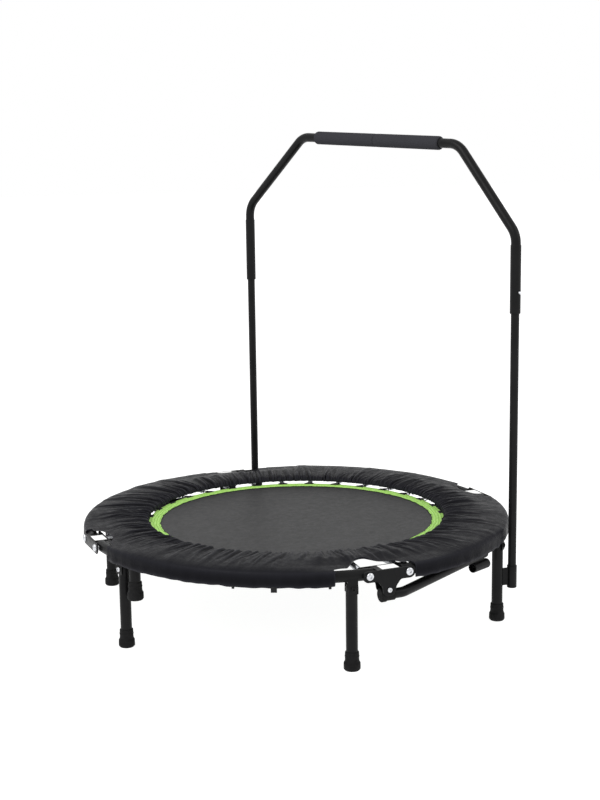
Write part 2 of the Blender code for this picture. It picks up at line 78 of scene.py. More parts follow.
class Look:
    """One procedural material, built node by node."""

    def __init__(self, name, colour, roughness, metallic=0.0, **more):
        self.material = bpy.data.materials.new(name)
        self.material.use_nodes = True
        self.tree = self.material.node_tree
        self.shader = self.tree.nodes["Principled BSDF"]
        self.put("Base Color", (*colour, 1))
        self.put("Roughness", roughness)
        self.put("Metallic", metallic)
        for key, value in more.items():
            self.put(key.replace("_", " "), value)
        self.height = None

    def put(self, socket, value):
        self.shader.inputs[socket].default_value = value

    def node(self, kind, inputs=(), **settings):
        made = self.tree.nodes.new("ShaderNode" + kind)
        for key, value in settings.items():
            setattr(made, key, value)
        for key, value in dict(inputs).items():
            if isinstance(value, bpy.types.NodeSocket):
                self.tree.links.new(value, made.inputs[key])
            else:
                made.inputs[key].default_value = value
        return made

    def math(self, operation, a, b=0.0):
        return self.node("Math", {0: a, 1: b}, operation=operation).outputs[0]

    def place(self):
        return self.node("TexCoord").outputs["Object"]

    def round_place(self, round_to=0.43):
        """Distance from the ring's axis, way round the ring and height, all in metres."""
        parts = self.node("SeparateXYZ", {0: self.place()}).outputs
        flat = self.node("CombineXYZ", {0: parts[0], 1: parts[1]}).outputs[0]
        reach = self.node("VectorMath", {0: flat}, operation="LENGTH").outputs["Value"]
        turn = self.math("MULTIPLY", self.math("ARCTAN2", parts[1], parts[0]), round_to)
        return self.node("CombineXYZ", {0: reach, 1: turn, 2: parts[2]}).outputs[0]

    def stretched(self, vector, scale):
        return self.node("Mapping", {"Vector": vector, "Scale": scale}).outputs[0]

    def noise(self, vector, scale, detail=3.0, roughness=0.55):
        inputs = {"Vector": vector, "Scale": scale, "Detail": detail, "Roughness": roughness}
        return self.node("TexNoise", inputs).outputs["Fac"]

    def ribs(self, vector, period, direction="X"):
        """Parallel ribs one period apart."""
        inputs = {"Vector": vector, "Scale": math.tau / 20 / period}
        return self.node("TexWave", inputs, bands_direction=direction).outputs["Fac"]

    def between(self, factor, low, high, start=0.3, end=0.7):
        """A colour or a number that goes from low to high as factor does from start to end."""
        if not isinstance(low, tuple):
            made = self.node("MapRange", {"Value": factor, "From Min": start, "From Max": end,
                                          "To Min": low, "To Max": high})
            return made.outputs[0]
        ramp = self.node("ValToRGB", {"Fac": factor})
        for stop, place, colour in zip(ramp.color_ramp.elements, (start, end), (low, high)):
            stop.position = place
            stop.color = (*colour, 1)
        return ramp.outputs["Color"]

    # Links a value into one of the shader's inputs; for the nylon this carries painted shade and painted
    # highlight into the base colour.
    def feed_socket(self, socket, value):
        self.tree.links.new(value, self.shader.inputs[socket])

    def raised(self, height, strength, distance):
        """Adds relief on top of what there is."""
        inputs = {"Height": height, "Strength": strength, "Distance": distance}
        if self.height:
            inputs["Normal"] = self.height
        self.height = self.node("Bump", inputs).outputs[0]
        self.tree.links.new(self.height, self.shader.inputs["Normal"])


def steel_look():
    look = Look("powder_coated_steel", (0.0055, 0.0055, 0.0058), 0.4, Specular_IOR_Level=0.12)
    at = look.place()
    patches = look.noise(at, 22, 4)
    look.feed_socket("Base Color", look.between(patches, (0.0035, 0.0035, 0.0038), (0.0068, 0.0068, 0.0071)))
    look.feed_socket("Roughness", look.between(look.noise(at, 60, 5), 0.30, 0.46))
    look.raised(look.noise(at, 900, 2), 0.22, 0.0004)
    look.raised(look.noise(look.stretched(at, (1, 1, 0.12)), 260, 4), 0.06, 0.0004)
    return look.material


def rubber_look():
    look = Look("moulded_rubber", (0.006, 0.006, 0.006), 0.7, Specular_IOR_Level=0.12)
    at = look.place()
    patches = look.noise(at, 45, 5)
    look.feed_socket("Base Color", look.between(patches, (0.0045, 0.0045, 0.0045), (0.0095, 0.0095, 0.0098)))
    look.feed_socket("Roughness", look.between(look.noise(at, 150, 4), 0.6, 0.85))
    look.raised(look.noise(at, 1300, 3), 0.4, 0.0003)
    return look.material


def zinc_look(name, low, high, rough):
    look = Look(name, high, rough, 1.0)
    at = look.place()
    look.feed_socket("Base Color", look.between(look.noise(at, 120, 4), low, high))
    look.feed_socket("Roughness", look.between(look.noise(at, 420, 4), rough - 0.08, rough + 0.12))
    look.raised(look.noise(look.stretched(at, (1, 1, 4)), 700, 3), 0.15, 0.0002)
    return look.material


def foam_look():
    look = Look("closed_cell_foam", (0.034, 0.034, 0.038), 0.92, Specular_IOR_Level=0.04)
    at = look.place()
    patches = look.noise(at, 420, 4)
    look.feed_socket("Base Color", look.between(patches, (0.026, 0.026, 0.030), (0.036, 0.036, 0.041)))
    cells = look.node("TexVoronoi", {"Vector": at, "Scale": 900.0}).outputs["Distance"]
    look.raised(cells, 0.3, 0.0003)
    look.raised(look.noise(at, 500, 3), 0.2, 0.0003)
    return look.material


def mat_look():
    """Fine flat threads over and under each other."""
    look = Look("woven_polypropylene", (0.028, 0.028, 0.029), 0.4, Specular_IOR_Level=0.05)
    at = look.place()
    over = look.ribs(at, 0.0022, "X")
    under = look.ribs(at, 0.0022, "Y")
    weave = look.math("MULTIPLY", over, under)
    patches = look.math("MULTIPLY", look.noise(at, 14, 5), 0.8)
    tint = look.math("ADD", look.math("MULTIPLY", weave, 0.35), patches)
    look.feed_socket("Base Color", look.between(tint, (0.022, 0.022, 0.0225), (0.030, 0.030, 0.0305), 0.2, 0.9))
    look.feed_socket("Roughness", look.between(look.noise(at, 90, 4), 0.34, 0.44))
    look.raised(weave, 0.4, 0.0003)
    return look.material


def webbing_look():
    look = Look("green_webbing", (0.30, 0.56, 0.10), 0.72, Sheen_Weight=0.15, Specular_IOR_Level=0.3)
    at = look.round_place(0.34)
    tint = look.noise(look.stretched(at, (3, 1, 1)), 90, 5)
    look.feed_socket("Base Color", look.between(tint, (0.235, 0.46, 0.065), (0.34, 0.61, 0.125), 0.35, 0.65))
    look.raised(look.ribs(at, 0.0013, "Y"), 0.35, 0.0004)
    look.raised(look.ribs(at, 0.0009, "X"), 0.2, 0.0003)
    look.raised(look.noise(look.stretched(at, (1, 0.4, 1)), 130, 4), 0.35, 0.0012)
    return look.material


def nylon_look():
    """Thin coated cloth: fine weave, small creases, painted shade in the hollows, painted highlight on the
    ridges and a dull shine.
    """
    look = Look("coated_nylon", (0.006, 0.006, 0.0075), 0.42, Specular_IOR_Level=0.035)
    at = look.round_place()
    tint = look.noise(look.stretched(at, (1, 3, 1)), 18, 6, 0.6)
    # Painted shade and painted highlight: from the mesh's pointiness, plus a little random tone, the base
    # colour goes dark in the creases' hollows and light on their ridges, standing in for how light falls on
    # the folds.
    bent = look.node("NewGeometry").outputs["Pointiness"]
    edges = look.math("ADD", bent, look.math("MULTIPLY", look.math("SUBTRACT", tint, 0.5), 0.02))
    hollow, ridge = (0.0015, 0.0015, 0.0022), (0.0165, 0.0165, 0.0205)
    look.feed_socket("Base Color", look.between(edges, hollow, ridge, 0.480, 0.545))
    look.feed_socket("Roughness", look.between(look.noise(at, 70, 5), 0.30, 0.48))
    look.raised(look.noise(look.stretched(at, (0.22, 1, 1)), 120, 6, 0.6), 0.55, 0.0016)
    look.raised(look.noise(at, 190, 5, 0.6), 0.35, 0.0009)
    weave = look.math("MULTIPLY", look.ribs(at, 0.0011, "X"), look.ribs(at, 0.0011, "Y"))
    look.raised(weave, 0.25, 0.0002)
    return look.material


def thread_look(name, low, high):
    look = Look(name, high, 0.75, Specular_IOR_Level=0.2)
    at = look.place()
    look.feed_socket("Base Color", look.between(look.noise(at, 300, 3), low, high))
    look.raised(look.noise(at, 1500, 2), 0.5, 0.0002)
    return look.material


def label_look():
    look = Look("blank_label", (0.84, 0.84, 0.83), 0.42)
    at = look.place()
    look.feed_socket("Base Color", look.between(look.noise(at, 60, 4), (0.76, 0.76, 0.75), (0.88, 0.88, 0.87)))
    look.feed_socket("Roughness", look.between(look.noise(at, 200, 3), 0.34, 0.52))
    look.raised(look.noise(at, 260, 3), 0.12, 0.0003)
    return look.material


STEEL = steel_look()
RUBBER = rubber_look()
ZINC = zinc_look("bright_zinc", (0.50, 0.51, 0.53), (0.74, 0.75, 0.77), 0.24)
SPRING = zinc_look("spring_wire", (0.28, 0.29, 0.30), (0.5, 0.51, 0.53), 0.34)
FOAM = foam_look()
MAT = mat_look()
GREEN = webbing_look()
NYLON = nylon_look()
GREEN_THREAD = thread_look("green_thread", (0.16, 0.34, 0.04), (0.25, 0.48, 0.08))
# Dark colour for the line that stands in for the shadow at the webbing's inner edge.
EDGE_SHADOW_LOOK = thread_look("painted_edge_shadow_thread", (0.005, 0.005, 0.0055), (0.011, 0.011, 0.012))
BLACK_WEBBING = thread_look("black_webbing", (0.007, 0.007, 0.0075), (0.014, 0.014, 0.015))
LABEL = label_look()


def finish_mesh(name, verts, faces, look, sharp=35):
    mesh = bpy.data.meshes.new(name)
    mesh.from_pydata([tuple(v) for v in verts], [], faces)
    tidy = bmesh.new()
    tidy.from_mesh(mesh)
    bmesh.ops.recalc_face_normals(tidy, faces=tidy.faces)
    tidy.to_mesh(mesh)
    tidy.free()
    mesh.shade_smooth()
    mesh.set_sharp_from_angle(angle=math.radians(sharp))
    mesh.materials.append(look)
    thing = bpy.data.objects.new(name, mesh)
    bpy.context.scene.collection.objects.link(thing)
    return thing


def piece(name, solids, look, body, stands_for=(), sharp=35):
    """One object of one or more closed solids, riding on a body if it has one."""
    verts, faces = [], []
    for solid_verts, solid_faces in solids:
        start = len(verts)
        verts += list(solid_verts)
        faces += [tuple(start + i for i in face) for face in solid_faces]
    thing = finish_mesh(name, verts, faces, look, sharp)
    if body:
        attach(thing, body)
    if stands_for:
        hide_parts(*stands_for)
    return thing


def skin(rings, closed=False):
    """A closed surface through equal rings, capped at both ends unless it meets itself."""
    sides = len(rings[0])
    verts = [point for ring in rings for point in ring]
    faces = []
    for k in range(len(rings) - (0 if closed else 1)):
        low, high = k * sides, (k + 1) % len(rings) * sides
        for i in range(sides):
            j = (i + 1) % sides
            faces.append((low + i, low + j, high + j, high + i))
    if not closed:
        last = (len(rings) - 1) * sides
        faces.append(tuple(range(sides))[::-1])
        faces.append(tuple(last + i for i in range(sides)))
    return verts, faces


def bar(points, radii, sides=28, hole=None):
    """A round bar along points, or a tube if hole gives its inner radius."""
    points = np.array([tuple(p) for p in points], float)
    if isinstance(radii, float):
        radii = [radii] * len(points)
    along = np.gradient(points, axis=0)
    along /= np.linalg.norm(along, axis=1)[:, None]
    across = np.cross(along[0], (0.0, 0.0, 1.0) if abs(along[0][2]) < 0.9 else (1.0, 0.0, 0.0))
    turns = np.linspace(0, math.tau, sides, endpoint=False)
    frames = []
    for line in along:
        across = across - line * (across @ line)
        across /= np.linalg.norm(across)
        frames.append((across, np.cross(line, across)))

    def ring(k, radius):
        one, two = frames[k]
        return list(points[k] + radius * (np.cos(turns)[:, None] * one + np.sin(turns)[:, None] * two))

    rings = [ring(k, radii[k]) for k in range(len(points))]
    if hole:
        rings += [ring(k, hole) for k in reversed(range(len(points)))]
    return skin(rings, bool(hole))


def eased(points, radius, closed=False, steps=3):
    """The corners of a line in a plane, rounded."""
    out = []
    count = len(points)
    for k, point in enumerate(points):
        here = Vector(point)
        if not closed and k in (0, count - 1):
            out.append(tuple(here))
            continue
        back, on = Vector(points[k - 1]) - here, Vector(points[(k + 1) % count]) - here
        start = here + back.normalized() * min(radius, back.length * 0.45)
        end = here + on.normalized() * min(radius, on.length * 0.45)
        for i in range(steps + 1):
            t = i / steps
            out.append(tuple(start * (1 - t) ** 2 + here * 2 * t * (1 - t) + end * t * t))
    return out


def lathe(profile, base=(0, 0, 0), axis=(0, 0, 1), sides=32, closed=False):
    """A solid turned about an axis through base, from (radius, distance along) points."""
    turn_to = Vector((0, 0, 1)).rotation_difference(Vector(axis)).to_matrix().to_4x4()
    place = Matrix.Translation(Vector(base)) @ turn_to
    verts, rings, faces = [], [], []
    for radius, along in profile:
        if radius < 1e-7:
            rings.append([len(verts)])
            verts.append(place @ Vector((0, 0, along)))
            continue
        rings.append(list(range(len(verts), len(verts) + sides)))
        for i in range(sides):
            turn = math.tau * i / sides
            verts.append(place @ Vector((radius * math.cos(turn), radius * math.sin(turn), along)))
    for low, high in zip(rings, rings[1:] + (rings[:1] if closed else [])):
        for i in range(sides):
            j = (i + 1) % sides
            if len(low) == 1:
                faces.append((low[0], high[j], high[i]))
            elif len(high) == 1:
                faces.append((low[i], low[j], high[0]))
            else:
                faces.append((low[i], low[j], high[j], high[i]))
    return verts, faces


def plate(outline, place, thickness, edge=0.0006):
    """An outline in the plane of place's X and Y axes, thick along Z, with eased edges."""
    points = [Vector(p) for p in outline]
    area = sum(a.x * b.y - b.x * a.y for a, b in zip(points, points[1:] + points[:1]))
    inner = []
    for k, point in enumerate(points):
        line = (points[(k + 1) % len(points)] - points[k - 1]).normalized()
        inward = Vector((-line.y, line.x)) * (1 if area > 0 else -1)
        inner.append(point + inward * edge)
    rings = []
    for ring, height in ((inner, -thickness / 2), (points, edge - thickness / 2),
                         (points, thickness / 2 - edge), (inner, thickness / 2)):
        rings.append([place @ Vector((p.x, p.y, height)) for p in ring])
    return skin(rings)


def rectangle(left, low, right, high):
    return [(left, low), (right, low), (right, high), (left, high)]


def radial(angle):
    return Vector((math.cos(math.radians(angle)), math.sin(math.radians(angle)), 0))


def tangent(angle):
    return radial(angle + 90)


def upright_plane(angle, radius):
    """X along the ring, Y up and Z outward, at the height of the ring's tube."""
    along, out = tangent(angle), radial(angle)
    centre = radius * out
    return Matrix(((along.x, 0, out.x, centre.x), (along.y, 0, out.y, centre.y),
                   (0, 1, 0, RING_HEIGHT), (0, 0, 0, 1)))


def bolt(name, angle, along, height, half, shank, head, body, centre, stands_for, look=None):
    """A pan-head bolt with a socket in its head, a washer and a hexagonal nut."""
    rim = head * 0.62
    profile = [(0, -half - rim * 0.4), (shank, -half - rim * 0.4), (shank, half), (head, half)]
    profile += [(head, half + rim * 0.35)]
    for k in range(1, 6):
        rise = math.radians(15 * k)
        profile.append((head * (0.42 + 0.58 * math.cos(rise)), half + rim * (0.35 + 0.65 * math.sin(rise))))
    profile += [(head * 0.42, half + rim), (head * 0.40, half + rim * 0.98), (head * 0.36, half + rim * 0.45),
                (0, half + rim * 0.4)]
    base = radial(angle) * centre + tangent(angle) * along
    base.z = height
    seat = -half - 0.0009
    washer = eased(rectangle(0, seat, head * 1.02, -half), 0.0002)
    nut = eased([(0, -half - rim), (head * 0.62, -half - rim), (head * 0.86, -half - rim * 0.8),
                 (head * 0.86, seat), (0, seat)], 0.0003)
    solids = [lathe(profile, base, radial(angle), 28), lathe(washer, base, radial(angle), 28),
              lathe(nut, base, radial(angle), 6)]
    piece(name, solids, look or ZINC, body, stands_for)


def ring_tubes():
    end_angle = math.degrees(math.asin(TUBE_END / RING_RADIUS))
    for name, start in QUARTERS.items():
        angles = np.radians(np.linspace(start + end_angle, start + 90 - end_angle, 49))
        points = [(RING_RADIUS * math.cos(a), RING_RADIUS * math.sin(a), RING_HEIGHT) for a in angles]
        body = "right_half" if "right" in name else "left_half"
        tube = bar(points, RING_TUBE, 32, RING_TUBE - RING_WALL)
        piece("ring_tube_" + name, [tube], STEEL, body, ["frame_" + name])


def leg_body(name):
    return LEG_BODIES.get(name, "folding_leg_" + name)


def half_of(angle):
    return "right_half" if math.cos(math.radians(angle)) > 0 else "left_half"


def foot_profile(rise=0.0):
    """A pushed-on foot with a spread base and two moulded rings round its neck."""
    bore = LEG_TUBE
    outer = [(0, 0), (0.0155, 0), (0.0182, 0.0035), (0.0180, 0.0165), (0.0159, 0.0196), (0.0153, 0.0240),
             (0.0153, 0.0290), (0.0158, 0.0300), (0.0158, 0.0320), (0.0152, 0.0330), (0.0151, 0.0395),
             (0.0142, 0.0410), (bore, 0.0410)]
    line = eased(outer, 0.0012) + [(bore, 0.0300), (0, 0.0300)]
    return [(r, z + rise) for r, z in line]


def leg_bracket(name, angle):
    """A bent strap over the leg's top, narrowed at its neck to clear the cover."""
    outer, inner, narrow = 0.0143, LEG_TUBE + 0.0003, 0.0020
    low, bend, neck, web, top = 0.1690, 0.1840, 0.1885, 0.1933, 0.2030
    one_side = [(inner - narrow, web), (inner - narrow, neck), (inner, bend), (inner, low), (outer, low),
                (outer, bend), (outer - narrow, neck), (outer - narrow, top)]
    outline = eased(one_side + [(-x, z) for x, z in reversed(one_side)], 0.0004, True, 2)
    place = Matrix.Translation(RING_RADIUS * radial(angle)) @ Matrix.Rotation(math.radians(angle), 4, "Z")
    strap = plate(outline, place @ Matrix.Rotation(math.radians(90), 4, "X"), 0.0226, 0.0003)
    piece("leg_bracket_" + name, [strap], STEEL, half_of(angle))


def legs():
    """Each leg with its rubber foot, its pivot bolt and the bracket on the ring that holds it."""
    for name, angle in LEG_ANGLES.items():
        base = RING_RADIUS * radial(angle)
        body = leg_body(name)
        profile = [(0, 0.0320), (LEG_TUBE, 0.0320), (LEG_TUBE, LEG_PIVOT)]
        for k in range(1, 9):
            rise = math.radians(90 * k / 8)
            profile.append((LEG_TUBE * math.cos(rise), LEG_PIVOT + LEG_TUBE * math.sin(rise)))
        profile[-1] = (0, LEG_PIVOT + LEG_TUBE)
        piece("leg_tube_" + name, [lathe(profile, base)], STEEL, body, ["leg_" + name])
        foot = lathe(foot_profile(), base)
        piece("rubber_foot_" + name, [foot], RUBBER, body, ["foot_" + name])
        bolt("leg_pin_" + name, angle, 0, LEG_PIVOT, 0.0144, 0.0034, 0.0055, half_of(angle), RING_RADIUS,
             ["leg_bolt_" + name], STEEL if name in BLACK_PINS else None)
        leg_bracket(name, angle)


def bracket_outline(carries_lever):
    """One side plate of a hinge bracket, with a lug below it where a lever's bolt goes through."""
    end, low = 0.060, -0.0140
    outline = [(-end, 0.007), (-end, -0.008), (-end + 0.008, low)]
    if carries_lever:
        drop = LEVER_DROP + 0.013
        outline += [(-0.027, low), (-0.016, -0.028), (-0.014, 0.006 - drop), (-0.008, -drop),
                    (0.008, -drop), (0.014, 0.006 - drop), (0.016, -0.028), (0.027, low)]
    outline += [(end - 0.008, low), (end, -0.008), (end, 0.007), (end - 0.004, BRACKET_TOP + 0.0003),
                (-end + 0.004, BRACKET_TOP + 0.0003)]
    return eased(outline, 0.004, True, 4)


def hinges():
    """The four hinge brackets, with their bolts and a blank label on each top plate."""
    spread, wide = PLATE_INNER + PLATE / 2, PLATE_INNER + PLATE * 0.6
    lid = eased(rectangle(-0.028, -wide, 0.028, wide), 0.002, True)
    stuck = eased(rectangle(-0.0150, -0.0140, 0.0245, 0.0140), 0.0015, True)
    for name, angle in HINGES.items():
        body = HINGE_BODIES[name]
        middle = upright_plane(angle, PLATE_CENTRE)
        outline = bracket_outline(name in LEVERS)
        solids = [plate(outline, middle @ Matrix.Translation((0, 0, side * spread)), PLATE)
                  for side in (-1, 1)]
        flat = middle @ Matrix.Rotation(math.radians(90), 4, "X")
        solids.append(plate(lid, flat @ Matrix.Translation((0, 0, -BRACKET_TOP + 0.0012)), 0.0024, 0.0005))
        piece("bracket_" + name, solids, STEEL, body, ["hinge_bracket_" + name])
        label = plate(stuck, flat @ Matrix.Translation((0, 0, -BRACKET_TOP - 0.0002)), 0.0005, 0.0001)
        piece("blank_label_" + name, [label], LABEL, body)
        for side, word in ((-1, "first"), (1, "second")):
            bolt("pivot_bolt_%s_%s" % (name, word), angle, side * BOLT_OFFSET, RING_HEIGHT,
                 PLATE_INNER + PLATE, 0.0042, 0.0085, body, PLATE_CENTRE,
                 ["hinge_bolt_%s_%s" % (name, word)])


def corner(before, at, after, radius, steps):
    """Points of a round bend at a corner of a straight-sided path."""
    back, on = (before - at).normalized(), (after - at).normalized()
    half = back.angle(on) / 2
    reach = radius / math.tan(half)
    hub = at + (back + on).normalized() * radius / math.sin(half)
    start, end = at + back * reach - hub, at + on * reach - hub
    axis, angle = start.rotation_difference(end).to_axis_angle()
    return [hub + Matrix.Rotation(angle * k / steps, 3, axis) @ start for k in range(steps + 1)]


def levers():
    """The two fold levers: a bent tube on a flat ear, a rubber end and a short cross tube."""
    for name in LEVERS:
        angle = HINGES[name]
        body, along = "lever_" + name, tangent(angle)
        near = PLATE_CENTRE * radial(angle) + UP * LEVER_NEAR_HEIGHT
        far = LEVER_REACH * radial(angle + LEVER_ANGLE) + UP * LEVER_FAR_HEIGHT
        start = near - along * 0.0105
        line = [start, near + along * 0.020] + corner(start, near + along * 0.040, far, 0.04, 10)
        direction = (far - line[-1]).normalized()
        line += [far - direction * 0.001, far]
        flat = Vector((direction.x, direction.y, 0)).normalized()
        centre = far - flat * 0.020 - UP * 0.026
        short = [centre + flat * s for s in (-0.028, -0.0272, 0.0272, 0.028)]
        across = flat.cross(UP)
        place = Matrix(((flat.x, 0, across.x, centre.x), (flat.y, 0, across.y, centre.y),
                        (0, 1, 0, centre.z), (0, 0, 0, 1)))
        web = rectangle(-0.024, 0.0090, 0.016, 0.0170)
        foot, hub = LEVER_NEAR_HEIGHT - RING_HEIGHT + 0.006, -LEVER_DROP
        ear = eased([(-0.0080, foot), (0.0080, foot), (0.0080, hub), (0.0056, hub + 0.0056),
                     (0, hub + 0.0080), (-0.0056, hub + 0.0056), (-0.0080, hub)], 0.002, True)
        solids = [bar(line, [LEVER_TUBE] * (len(line) - 1) + [LEVER_TUBE - 0.0008]),
                  bar(short, [0.0104, 0.0111, 0.0111, 0.0104], 28, 0.0095), plate(web, place, 0.004, 0.0004),
                  plate(ear, upright_plane(angle, PLATE_CENTRE), 0.006, 0.0005)]
        piece("lever_tube_" + name, solids, STEEL, body, ["fold_lever_" + name])
        cap = eased([(0, -0.0145), (0.0135, -0.0145), (0.0155, -0.0125), (0.0155, -0.0030),
                     (0.0138, -0.0010), (0.0136, 0.0180), (0.0124, 0.0185), (LEVER_TUBE, 0.0185),
                     (LEVER_TUBE, 0.0050), (0, 0.0050)], 0.0009)
        piece("rubber_end_" + name, [lathe(cap, near, along)], RUBBER, body,
              ["lever_end_" + name])
        bolt("lever_pin_" + name, angle, 0, RING_HEIGHT - LEVER_DROP, PLATE_INNER + PLATE, 0.0034, 0.0055,
             HINGE_BODIES[name], PLATE_CENTRE, ["lever_bolt_" + name])


def stand_stub():
    """The short tube with a rubber foot, well above the floor, beside the front-left leg."""
    base = RING_RADIUS * radial(LEG_ANGLES["front_left"] + 4.6)
    tube = lathe(rectangle(0, 0.150, LEG_TUBE, 0.1980), base)
    piece("short_stand", [tube], STEEL, "left_half", ["stand_stub"])
    piece("short_stand_foot", [lathe(foot_profile(0.1175), base)], RUBBER, "left_half",
          ["stand_stub_foot"])


def handle_frame():
    """The middle between the sockets, the way along the handle's bar and half their distance."""
    rear, right = (SOCKET_RADIUS * radial(SOCKET_ANGLES[n]) for n in ("rear", "right"))
    return (rear + right) / 2, (right - rear).normalized(), (right - rear).length / 2


def handle_tops():
    """The two top corners of the bar before they are rounded, the rear one first."""
    middle, along, _ = handle_frame()
    return [middle + along * HANDLE_TOP_REACH[name] + UP * HANDLE_TOP[name] for name in HANDLE_TOP]


def upright_cup(name, centre):
    """The cup that an upright stands in, on a web from the leg beside it."""
    leg = RING_RADIUS * radial(LEG_ANGLES[name])
    across = centre - leg
    low, high, outer = SOCKET_BOTTOM, SOCKET_BOTTOM + SOCKET_LENGTH, 0.0114
    bore = UPRIGHT_TUBE + 0.0002
    cup = eased([(0, low), (0.0104, low), (outer, low + 0.001), (outer, high - 0.0004),
                 (bore + 0.0004, high), (bore, high - 0.0006), (bore, low + 0.003), (0, low + 0.003)],
                0.0005)
    place = Matrix.Translation(leg) @ Matrix.Rotation(math.atan2(across.y, across.x), 4, "Z")
    place = place @ Matrix.Rotation(math.radians(90), 4, "X")
    web = rectangle(LEG_TUBE - 0.0004, low + 0.007, across.length - outer + 0.001, low + 0.048)
    piece("upright_cup_" + name, [lathe(cup, centre), plate(web, place, 0.005, 0.0008)], STEEL,
          "right_half", ["handle_socket_" + name])


def snap_button(name, centre, direction):
    """The domed button that holds the bar's sleeve on an upright, and the rim of its hole."""
    radius, shoulder, dome = 0.0036, 0.0140, 0.0020
    pin = [(0, 0.0060), (radius, 0.0060), (radius, shoulder)]
    for k in range(1, 6):
        rise = math.radians(18 * k)
        pin.append((radius * math.cos(rise), shoulder + dome * math.sin(rise)))
    pin[-1] = (0, shoulder + dome)
    at = centre + UP * BUTTON_HEIGHT
    piece("push_button_" + name, [lathe(pin, at, direction, 24)], ZINC, "button_" + name,
          ["snap_button_" + name])
    rim = [(0.0041, SLEEVE - 0.0006), (0.0058, SLEEVE - 0.0004), (0.0058, SLEEVE - 0.0012),
           (0.0041, SLEEVE - 0.0014)]
    piece("button_rim_" + name, [lathe(rim, at, direction, 24, True)], STEEL, "handle")


def foam_grip(name, side):
    """A foam sleeve from the middle of the bar to one side."""
    rear, right = handle_tops()
    bore, outer, length = HANDLE_TUBE, 0.0160, 0.2065
    wrap = [(bore, 0.0003), (outer - 0.0010, 0.0003), (outer - 0.0002, 0.0012)]
    wrap += [(outer, length * k / 24) for k in range(1, 23)]
    wrap += [(outer, length - 0.004), (outer - 0.0008, length - 0.0014), (outer - 0.0026, length),
             (bore, length)]
    sleeve = lathe(wrap, (rear + right) / 2, (right - rear).normalized() * side, 40, True)
    piece("foam_grip_" + name, [sleeve], FOAM, "handle", ["grip_" + name])


def handle_bar():
    """One bent tube: a wide sleeve over each upright, a shoulder above it, and the sloping bar."""
    middle, along, half = handle_frame()
    rear, right = middle - along * half, middle + along * half
    corners = [rear + UP * SLEEVE_TOP["rear"], rear + UP * SHOULDER["rear"], *handle_tops(),
               right + UP * SHOULDER["right"], right + UP * SLEEVE_TOP["right"]]
    first, last = ([(SLEEVE_BOTTOM[n], SLEEVE - 0.0008), (SLEEVE_BOTTOM[n] + 0.0008, SLEEVE),
                    (SLEEVE_TOP[n] - 0.0012, SLEEVE), (SLEEVE_TOP[n] - 0.0002, SLEEVE - 0.0009)]
                   for n in ("rear", "right"))
    path = [rear + UP * z for z, _ in first] + [corners[0]]
    for k in range(1, 5):
        path += corner(corners[k - 1], corners[k], corners[k + 1], 0.055, 12)
    path += [corners[5]] + [right + UP * z for z, _ in reversed(last)]
    radii = [r for _, r in first] + [HANDLE_TUBE] * (len(path) - 8) + [r for _, r in reversed(last)]
    piece("handle_bar", [bar(path, radii, 32)], STEEL, "handle", ["handle_upper"])


def handle():
    """The two uprights in their cups, their snap buttons, the foam grips and the bent bar."""
    along = handle_frame()[1]
    tube = rectangle(0, SOCKET_BOTTOM + 0.0033, UPRIGHT_TUBE, UPRIGHT_TOP)
    for name, side in (("right", 1), ("rear", -1)):
        centre = SOCKET_RADIUS * radial(SOCKET_ANGLES[name])
        upright_cup(name, centre)
        piece("upright_tube_" + name, [lathe(tube, centre)], STEEL, "handle",
              ["handle_upright_" + name])
        snap_button(name, centre, along * side)
        foam_grip(name, side)
    handle_bar()


def bends(thing):
    """Bakes the placement of cloth on one half into its mesh."""
    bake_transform(thing)


def slab(top, low):
    """A closed sheet from a grid of top points down to points below them."""
    rows, cols = top.shape[:2]
    verts = np.concatenate([top.reshape(-1, 3), low.reshape(-1, 3)])
    index = np.arange(rows * cols).reshape(rows, cols)
    quads = np.stack([index[:-1, :-1], index[1:, :-1], index[1:, 1:], index[:-1, 1:]], -1).reshape(-1, 4)
    faces = [tuple(q) for q in quads] + [tuple(q[::-1] + rows * cols) for q in quads]
    rim = list(index[:, 0]) + list(index[-1, 1:]) + list(index[-2::-1, -1]) + list(index[0, -2:0:-1])
    for a, b in zip(rim, rim[1:] + rim[:1]):
        faces.append((b, a, a + rows * cols, b + rows * cols))
    return verts, faces


def waves(angles, terms, seed):
    """A smooth wandering value round the ring: sines of whole numbers of periods."""
    draw = np.random.default_rng(seed)
    total = np.zeros_like(angles)
    for periods, size in terms:
        total += size * np.sin(periods * angles + draw.uniform(0, math.tau))
    return total


def half_angles(side, count):
    middle = 0.0 if side > 0 else math.pi
    return np.linspace(middle - math.pi / 2, middle + math.pi / 2, count)


def round_grid(radius, angles, height):
    shape = np.broadcast(radius, angles, height).shape
    return np.stack([np.broadcast_to(radius * np.cos(angles), shape),
                     np.broadcast_to(radius * np.sin(angles), shape), np.broadcast_to(height, shape)], -1)


def mats():
    for name, side in SIDES:
        lean = np.radians(np.linspace(0, 89, 80))[:, None]
        share = np.linspace(-1, 1, 61)[None, :]
        x = side * MAT_EDGE * np.sin(lean) + 0 * share
        y = MAT_EDGE * np.cos(lean) * share
        dip = 0.0004 * np.cos(np.clip(np.hypot(x, y) / MAT_EDGE, 0, 1) * math.pi / 2)
        top = np.stack([x, y, 0.2054 - dip], -1)
        low = top - np.array([0, 0, 0.0018])
        thing = piece("jump_mat_" + name, [slab(top, low)], MAT, None, ["mat_" + name])
        bends(thing)


STITCH_ROWS = (0.3295, 0.3365, 0.3435, 0.3505)


def row_radius(row, angles):
    """Where a stitched row runs: each wanders a little about its own circle."""
    return STITCH_ROWS[row] + waves(angles, ((33, 0.0005), (47, 0.0005), (71, 0.00035)), 11 + row // 2)


def border_edges(angles):
    inner = BORDER_INNER + waves(angles, ((29, 0.0005), (53, 0.0005), (97, 0.0004)), 3)
    inner += 0.0007 * np.abs(np.sin(40 * angles + 0.4 * np.sin(7 * angles))) ** 6
    outer = BORDER_OUTER + waves(angles, ((31, 0.0004), (59, 0.0004)), 4)
    return inner, outer


